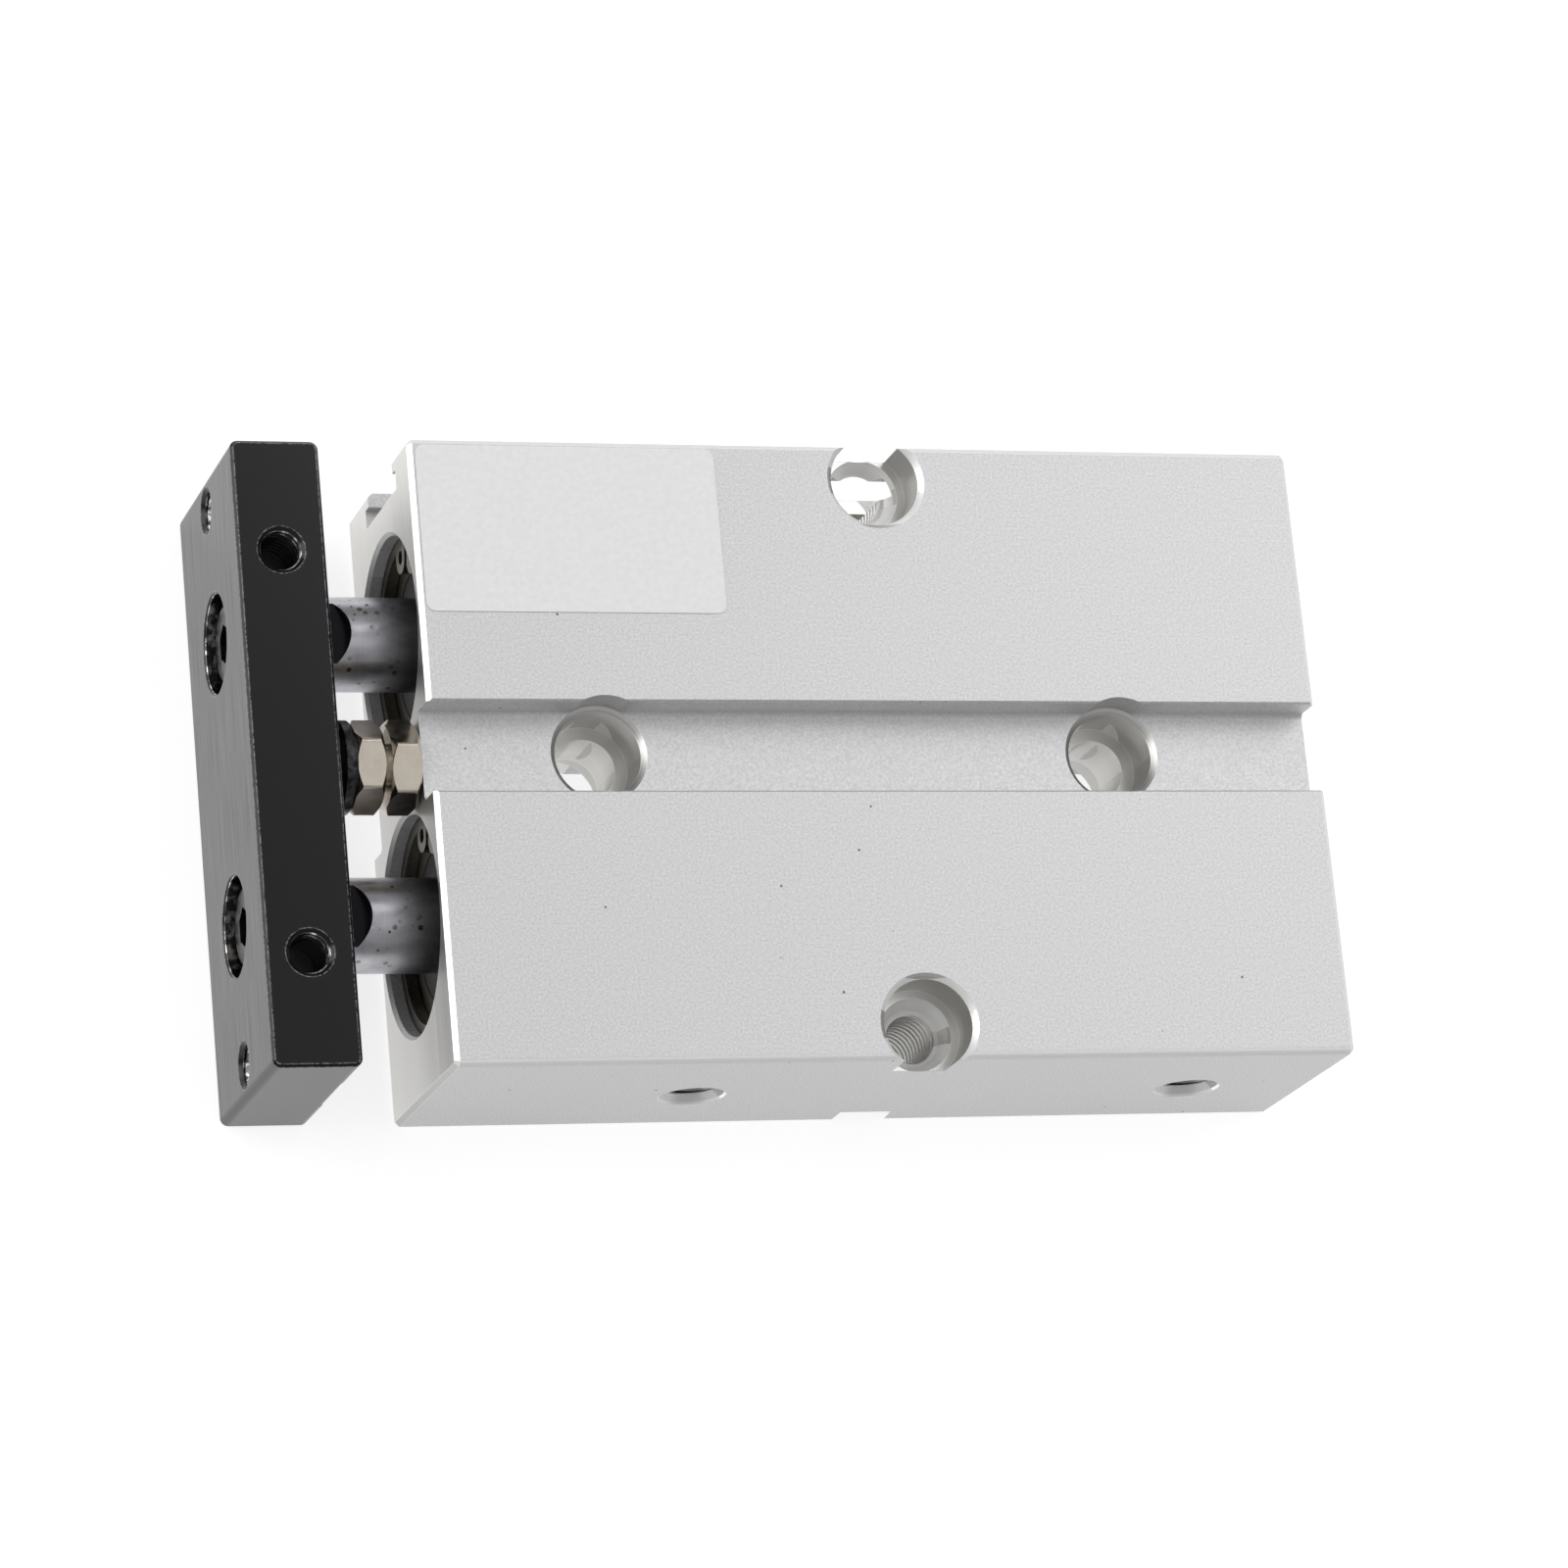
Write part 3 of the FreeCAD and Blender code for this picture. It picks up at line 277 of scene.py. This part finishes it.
def blasted_anodised_aluminium():
    """Extruded aluminium, blasted and clear anodised: matt, pale and speckled, smoother where it was cut,
    with painted shade in its recesses and on its corners and painted highlights on its edges and rims.
    """
    grit_size = 0.2 * MM  # real grit pits are near 0.05 mm; drawn coarser so that they still show
    feed = 0.3 * MM  # real cutter marks are near 0.1 mm apart; drawn coarser so that they still show
    mark_length = 40 * MM
    edge_width = 0.13 * MM
    pore_spacing = 3.8 * MM
    pore_size = 0.24 * MM
    material, tree = new_material("blasted_anodised_aluminium")
    holes, ports = housing_holes(tree)
    cut = add(tree, MATH, {0: holes, 1: facing(tree, "X", MOSTLY)}, operation="MAXIMUM")
    # the cut edges, where painted highlights go
    edges = add(tree, MATH, {0: cut, 1: near_edges(tree, edge_width)}, operation="MULTIPLY")
    long_rounds, shaded_groove_rounds, corners = housing_edges(tree)
    throats = inside_holes(tree, PORTS, PORT_THROAT)
    shaded_port_walls = add(tree, MATH, {0: ports, 1: throats}, operation="MULTIPLY")
    port_rims = add(tree, MATH, {0: ports, 1: throats}, operation="SUBTRACT")
    sloped = add(tree, MATH, {0: facing(tree, "X", SLANTED), 1: facing(tree, "X", SQUARELY)},
                 operation="SUBTRACT")
    bore_rims = add(tree, MATH, {0: inside_holes(tree, BORE_SEATS, BORE_CHAMFER), 1: sloped},
                    operation="MULTIPLY")
    soft_highlights = add(tree, MATH, {0: long_rounds, 1: 0.7}, operation="MULTIPLY")
    rim_highlights = add(tree, MATH, {0: bore_rims, 1: port_rims}, operation="MAXIMUM")
    hard_highlights = add(tree, MATH, {0: edges, 1: rim_highlights}, operation="MAXIMUM")
    bright = add(tree, MATH, {0: soft_highlights, 1: hard_highlights}, operation="MAXIMUM")
    grit = cloudy(tree, [grit_size] * 3, 3.0)
    marks = cloudy(tree, [mark_length, mark_length, feed], 1.0)
    colour = layers(tree, two_tone(tree, grit, "#cfcfd0", "#e5e5e6"), [
        (specks(tree, pore_spacing, pore_size), 1.0, "#7c7a74"),
        # painted shade in the groove's rounds
        (shaded_groove_rounds, 0.15, "#8f8e8b"),
        (cut, 1.0, "#dcdbd8"),
        # painted shade on the counterbores' walls
        (shaded_counterbore_walls(tree, holes), 0.32, "#8f8e8b"),
        # painted shade in the ports' throats
        (shaded_port_walls, 0.6, "#4a4a48"),
        # painted shade on the upright corners at the body's ends
        (corners, 0.6, "#9a9a98"),
        # painted highlights on the cut edges, the long outer rounds and the rims of the bores and ports
        (bright, 1.0, "#ffffff")])
    cut_roughness = add(tree, RANGE, {"Value": marks, "To Min": 0.28, "To Max": 0.46})
    cut_metallic = add(tree, RANGE, {"Value": cut, "To Min": 0.75, "To Max": 0.95})
    highlighted_edges = add(tree, MATH, {0: long_rounds, 1: bore_rims}, operation="MAXIMUM")
    relief = add(tree, RANGE, {"Value": cut, "To Min": grit, "To Max": marks})
    bump = add(tree, BUMP, {"Height": relief, "Strength": 0.25, "Distance": 0.02 * MM})
    close_finish(tree, {
        "Base Color": colour,
        "Roughness": add(tree, RANGE, {"Value": cut, "To Min": 0.6, "To Max": cut_roughness}),
        "Metallic": add(tree, RANGE, {"Value": highlighted_edges, "To Min": cut_metallic, "To Max": 0.3}),
        "Normal": thread_relief(tree, M5_SIDE_HOLES + PORTS, M5_PITCH, bump)})
    return material


def brushed_black_anodised_aluminium():
    """Brushed aluminium dyed black: dark face on, silvery at a flat angle, with bare metal in its holes,
    darkened there as painted shade and chipped with painted glints.
    """
    streak = 0.16 * MM  # brush lines are near 0.02 mm wide; drawn coarser so that they still show
    streak_length = 9 * MM
    edge_width = 0.17 * MM
    material, tree = new_material("brushed_black_anodised_aluminium")
    brushed = facing(tree, "X", SQUARELY)
    top_holes = inside_holes(tree, M4_TOP_HOLES, TAPPED_RIM)
    mouths = add(tree, MATH, {0: top_holes, 1: within(tree, "Z", PLATE_MOUTH_Z)}, operation="SUBTRACT")
    bare_holes = inside_holes(tree, M4_FACE_HOLES + PLATE_COUNTERBORES, PLATE_HOLE_RIM)
    chipped = add(tree, MATH, {0: bare_holes, 1: mouths}, operation="MAXIMUM")
    cut = add(tree, MATH, {0: chipped, 1: top_holes}, operation="MAXIMUM")
    lumps = cloudy(tree, [0.9 * MM] * 3, 3.0)
    lines = cloudy(tree, [streak, streak_length, streak], 3.0)
    fine = cloudy(tree, [0.2 * MM] * 3)
    chips = add(tree, RANGE, {"Value": lumps, **CLOUD_SPAN, "To Min": -1.4, "To Max": 1.6})
    wear = add(tree, RANGE, {"Value": fine, **CLOUD_SPAN, "To Min": -0.3, "To Max": 1.5})
    line_share = add(tree, RANGE, {"Value": lines, **CLOUD_SPAN, "To Min": 0.0, "To Max": 1.6})
    dye_share = add(tree, RANGE, {"Value": brushed, "To Min": fine, "To Max": line_share})
    dye = add(tree, MIX, {0: dye_share, 6: linear("#060609"), 7: linear("#101014")}, output=2,
              data_type="RGBA")
    worn_edges = add(tree, MATH, {0: near_edges(tree, edge_width), 1: wear}, operation="MULTIPLY")
    chips_and_glints = add(tree, MATH, {0: chipped, 1: chips}, operation="MULTIPLY")
    line_roughness = add(tree, RANGE, {"Value": lines, **CLOUD_SPAN, "To Min": 0.12, "To Max": 0.34})
    relief = add(tree, RANGE, {"Value": brushed, "To Min": fine, "To Max": lines})
    depth = add(tree, RANGE, {"Value": brushed, "To Min": 0.08, "To Max": 0.5})
    bump = add(tree, BUMP, {"Height": relief, "Strength": depth, "Distance": 0.01 * MM})
    close_finish(tree, {
        "IOR": 1.42,
        # bare metal in the holes, darkened as painted shade
        "Base Color": layers(tree, dye, [(worn_edges, 1.0, "#d0d0d4"), (cut, 1.0, "#56565a"),
                                         # chipped anodising showing bare metal, bright as painted glints
                                         (chips_and_glints, 1.0, "#ece6de")]),
        "Metallic": cut,
        "Roughness": add(tree, RANGE, {"Value": brushed, "To Min": 0.22, "To Max": line_roughness}),
        "Normal": thread_relief(tree, M4_FACE_HOLES + M4_TOP_HOLES, M4_PITCH, bump)})
    return material


def silver_film():
    """Polyester film with a silver back print: smooth satin grey with a painted highlight along its cut edge.
    """
    edge_width = 0.12 * MM
    material, tree = new_material("silver_film")
    face = two_tone(tree, cloudy(tree, [0.5 * MM] * 3), "#ededee", "#f3f3f4")
    close_finish(tree, {
        "IOR": 1.5,
        "Roughness": 0.42,
        # painted highlight along the film's cut edge
        "Base Color": layers(tree, face, [(near_edges(tree, edge_width), 1.0, "#f6f6f6")])})
    return material


def nickel_plated_steel():
    """Forged steel with electroless nickel: warm silver facets, faintly wavy."""
    material, tree = new_material("nickel_plated_steel")
    waves = cloudy(tree, [0.9 * MM] * 3)
    close_finish(tree, {
        "Metallic": 1.0,
        "Base Color": two_tone(tree, waves, "#c2b9ab", "#cec6ba"),
        "Roughness": add(tree, RANGE, {"Value": waves, **CLOUD_SPAN, "To Min": 0.15, "To Max": 0.24}),
        "Normal": add(tree, BUMP, {"Height": waves, "Strength": 0.12, "Distance": 0.05 * MM})})
    return material


def wrench_flats(tree, place):
    """1 on the flats of the rods near the plate, else 0."""
    height = add(tree, MATH, {0: place["Z"], 1: -ROD_AXIS_Z}, operation="ADD")
    size = add(tree, MATH, {0: height}, operation="ABSOLUTE")
    level = add(tree, MATH, {0: size, 1: ROD_FLAT_HEIGHT, 2: FLAT_TOLERANCE}, operation="COMPARE")
    near_plate = add(tree, MATH, {0: place["X"], 1: WRENCH_FLATS_X}, operation="LESS_THAN")
    flat_part = add(tree, MATH, {0: level, 1: near_plate}, operation="MULTIPLY")
    return add(tree, MATH, {0: flat_part, 1: facing(tree, "Z", EXACTLY)}, operation="MULTIPLY")


def hard_chrome():
    """Ground rod with hard chrome: cool satin with fine rings, dried oil, and a painted dark reflection on
    the wrench flats.
    """
    ring_spacing = 0.12 * MM  # real grinding lines are near 0.02 mm wide; drawn coarser so that they show
    drop_spacing = 0.8 * MM
    drop_size = 0.46 * MM
    material, tree = new_material("hard_chrome")
    place = add(tree, AXES, {0: add(tree, PLACE, output="Object")}).node.outputs
    grinding = cloudy(tree, [ring_spacing, 4 * MM, 4 * MM])
    cloud = cloudy(tree, [1.6 * MM, 0.9 * MM, 0.9 * MM], 3.0)
    stain = add(tree, RANGE, {"Value": cloud, **CLOUD_SPAN, "To Min": -0.2, "To Max": 0.5})
    patches = add(tree, RANGE, {"Value": cloudy(tree, [2.2 * MM] * 3, 1.0), **CLOUD_SPAN,
                                "To Min": -1.2, "To Max": 1.3})
    # the seal wipes all that it passes over, so the oil dries only outside the body
    unwiped = add(tree, MATH, {0: place["X"], 1: ROD_SIDE_FACE_X}, operation="LESS_THAN")
    drops = add(tree, MATH, {0: specks(tree, drop_spacing, drop_size), 1: patches}, operation="MULTIPLY")
    oil = add(tree, MATH, {0: drops, 1: unwiped}, operation="MULTIPLY")
    close_finish(tree, {
        "Metallic": 1.0,
        "Base Color": layers(tree, two_tone(tree, grinding, "#b6b6bc", "#bebec4"), [
            (stain, 1.0, "#8c8c92"),
            (oil, 1.0, "#5a5238"),
            # painted dark reflection on the wrench flats
            (wrench_flats(tree, place), 1.0, "#1c1c1e")]),
        "Roughness": add(tree, RANGE, {"Value": grinding, **CLOUD_SPAN, "To Min": 0.3, "To Max": 0.34})})
    return material


def grained(name, dark, light, grain, depth, **inputs):
    """A finish with an even grain: its colour goes from dark to light and its relief is depth deep."""
    material, tree = new_material(name)
    grains = cloudy(tree, [grain] * 3)
    close_finish(tree, {
        **inputs,
        "Base Color": two_tone(tree, grains, dark, light),
        "Normal": add(tree, BUMP, {"Height": grains, "Strength": 0.5, "Distance": depth})})
    return material


def turned(name, dark, light, **inputs):
    """A finish with rings round the bore axes, as a lathe tool leaves them."""
    ring_width = 0.2 * MM  # real turning marks are near 0.1 mm apart; drawn coarser so that they still show
    material, tree = new_material(name)
    place = add(tree, PLACE, output="Object")
    same_side = add(tree, VECTOR_MATH, {0: place}, operation="ABSOLUTE")
    offset = add(tree, VECTOR_MATH, {0: same_side, 1: BORE_AXIS}, operation="SUBTRACT")
    across = add(tree, VECTOR_MATH, {0: offset, 1: [0, 1, 1]}, operation="MULTIPLY")
    distance = add(tree, VECTOR_MATH, {0: across}, output="Value", operation="LENGTH")
    feed = add(tree, MATH, {0: add(tree, AXES, {0: place}, output="X"), 1: distance}, operation="ADD")
    rings = add(tree, "ShaderNodeTexNoise", {"W": feed, "Scale": 1 / ring_width, "Detail": 1.0}, output="Fac",
                noise_dimensions="1D")
    close_finish(tree, {
        **inputs,
        "Base Color": two_tone(tree, rings, dark, light),
        "Normal": add(tree, BUMP, {"Height": rings, "Strength": 0.4, "Distance": 0.02 * MM})})
    return material


# The real grains are finer than 0.1 mm; most are drawn coarser so that they still show
MATERIALS = {
    "body_aluminium": blasted_anodised_aluminium(),
    "label_film": silver_film(),
    "plate_black": brushed_black_anodised_aluminium(),
    "nickel_steel": nickel_plated_steel(),
    "rod_chrome": hard_chrome(),
    # cast polyurethane: brown-black and softly shiny
    "urethane": grained("cast_polyurethane", "#2e2922", "#443c31", 0.4 * MM, 0.01 * MM, Roughness=0.45),
    # lathe-turned covers, dyed dark: brown-grey rings with a dull metal shine
    "cover_dark": turned("turned_dark_anodised_aluminium", "#4a4740", "#6c685f", Metallic=1.0,
                         Roughness=0.38),
    # moulded nitrile seals: matt black
    "nbr": grained("moulded_nitrile_rubber", "#0e0e0e", "#1c1c1c", 0.2 * MM, 0.01 * MM, Roughness=0.55),
    # pressed bronze powder: brown-gold with dark pores
    "bush_bronze": grained("sintered_oil_bronze", "#7d6138", "#b0925c", 0.15 * MM, 0.02 * MM, Metallic=1.0,
                           Roughness=0.42),
    # stamped spring steel with zinc phosphate: brown-grey crystals with a dull metal shine
    "phosphated_steel": grained("phosphated_spring_steel", "#5c5850", "#8a867c", 0.12 * MM, 0.01 * MM,
                                Metallic=1.0, Roughness=0.36),
    # bare turned pistons: bright rings
    "piston_aluminium": turned("turned_aluminium", "#bcbcbc", "#dcdcdc", Metallic=1.0, Roughness=0.3),
    # pressed ferrite powder in resin: charcoal and dull
    "magnet_ferrite": grained("bonded_ferrite", "#1e1c1c", "#2e2b2a", 0.2 * MM, 0.01 * MM, Roughness=0.6),
    # moulded acetal: cream with a waxy shine
    "wear_resin": grained("moulded_acetal", "#bdb498", "#cfc8b2", 0.6 * MM, 0.005 * MM, Roughness=0.45),
    # machined steel, hot blackened: blue-black with uneven bright glints
    "black_steel": grained("black_oxide_steel", "#1c1c1e", "#4a4a4e", 0.45 * MM, 0.06 * MM, Metallic=0.9,
                           Roughness=0.26),
}

FLOOR_SIZE = 6.0
FLOOR_GAP = 0.02 * MM
FLOOR_LIFT = 0.8  # glow that brings the floor's grey up to white where it is seen

# The sky: darker walls up to one height, a paler ceiling from another, as the upward part of the direction
WALL_STRENGTH = 0.28
WALL_TOP = 0.3
CEILING_STRENGTH = 0.45
CEILING_EDGE = 0.46

CAMERA_VIEW = Vector((0.3106, 0.2765, -0.9095)).normalized()
CAMERA_UP = Vector((0.0, 0.9567, 0.2910)).normalized()
CAMERA_TARGET = Vector((-10.8, -3.15, 21.0)) * MM
CAMERA_DISTANCE = 518.4 * MM
CAMERA_LENS = 142.6


def dress_nodes():
    """Every CAD node gets the material of its slot."""
    slots = {row["node"]: row["material_slot"] for row in frame["record"]["subparts"]}
    for name, node in nodes.items():
        node.data.materials.clear()
        node.data.materials.append(MATERIALS[slots[name]])


def studio_floor():
    """Grey floor lifted to white for the camera and in reflections, with the object's shadow kept on it."""
    bpy.ops.mesh.primitive_plane_add(size=FLOOR_SIZE, location=(0, 0, cad_box[0].z - FLOOR_GAP))
    floor = bpy.context.object
    floor.name = "floor"
    material, tree = new_material("studio_floor")
    rays = add(tree, "ShaderNodeLightPath").node.outputs
    camera_or_gloss = add(tree, MATH, {0: rays["Is Camera Ray"], 1: rays["Is Glossy Ray"]},
                          operation="MAXIMUM")
    seen = add(tree, MATH, {0: camera_or_gloss, 1: rays["Is Transmission Ray"]}, operation="MAXIMUM")
    lift = add(tree, MATH, {0: seen, 1: FLOOR_LIFT}, operation="MULTIPLY")
    glow = add(tree, "ShaderNodeEmission", {"Color": linear("#ffffff"), "Strength": lift})
    paint = add(tree, "ShaderNodeBsdfPrincipled", {"Base Color": linear("#aaaaaa"), "Roughness": 0.9})
    add(tree, "ShaderNodeOutputMaterial", {"Surface": add(tree, "ShaderNodeAddShader", {0: paint, 1: glow})})
    floor.data.materials.append(material)


def area_light(name, place, size, power):
    """Soft square lamp that faces the object."""
    lamp = bpy.data.lights.new(name, "AREA")
    lamp.shape = "SQUARE"
    lamp.size = size
    lamp.energy = power
    holder = bpy.data.objects.new(name, lamp)
    holder.location = place
    holder.rotation_euler = (-Vector(place)).to_track_quat("-Z", "Y").to_euler()
    bpy.context.scene.collection.objects.link(holder)


def studio_light():
    """A pale ceiling over darker walls, with lamps low beyond the plate, high on the slot side and above."""
    world = bpy.data.worlds.new("studio")
    bpy.context.scene.world = world
    world.use_nodes = True
    tree = world.node_tree
    height = add(tree, AXES, {0: add(tree, PLACE, output="Generated")}, output="Z")
    strength = add(tree, RANGE, {"Value": height, "From Min": WALL_TOP, "From Max": CEILING_EDGE,
                                 "To Min": WALL_STRENGTH, "To Max": CEILING_STRENGTH},
                   interpolation_type="SMOOTHSTEP")
    background = tree.nodes["Background"]
    tree.links.new(strength, background.inputs["Strength"])
    background.inputs["Color"].default_value = linear("#ffffff")
    area_light("plate_side_lamp", place=(-0.53, 0.165, 0.25), size=0.5, power=1.8)
    area_light("slot_side_lamp", place=(0.28, 0.19, 0.38), size=0.38, power=0.81)
    area_light("ceiling_panel", place=(0.19, -0.10, 0.56), size=0.34, power=0.14)


def camera():
    """Long lens above the label face, a little to the rod end and the port side."""
    data = bpy.data.cameras.new("camera")
    data.lens = CAMERA_LENS
    data.sensor_width = 36.0
    data.clip_start = 0.01
    data.clip_end = 10.0
    holder = bpy.data.objects.new("camera", data)
    right = CAMERA_VIEW.cross(CAMERA_UP).normalized()
    up = right.cross(CAMERA_VIEW)
    turn = Matrix((right, up, -CAMERA_VIEW)).transposed()
    holder.matrix_world = Matrix.Translation(CAMERA_TARGET - CAMERA_VIEW * CAMERA_DISTANCE) @ turn.to_4x4()
    bpy.context.scene.collection.objects.link(holder)
    bpy.context.scene.camera = holder


dress_nodes()
studio_floor()
studio_light()
camera()
bpy.context.scene.view_settings.view_transform = "Standard"
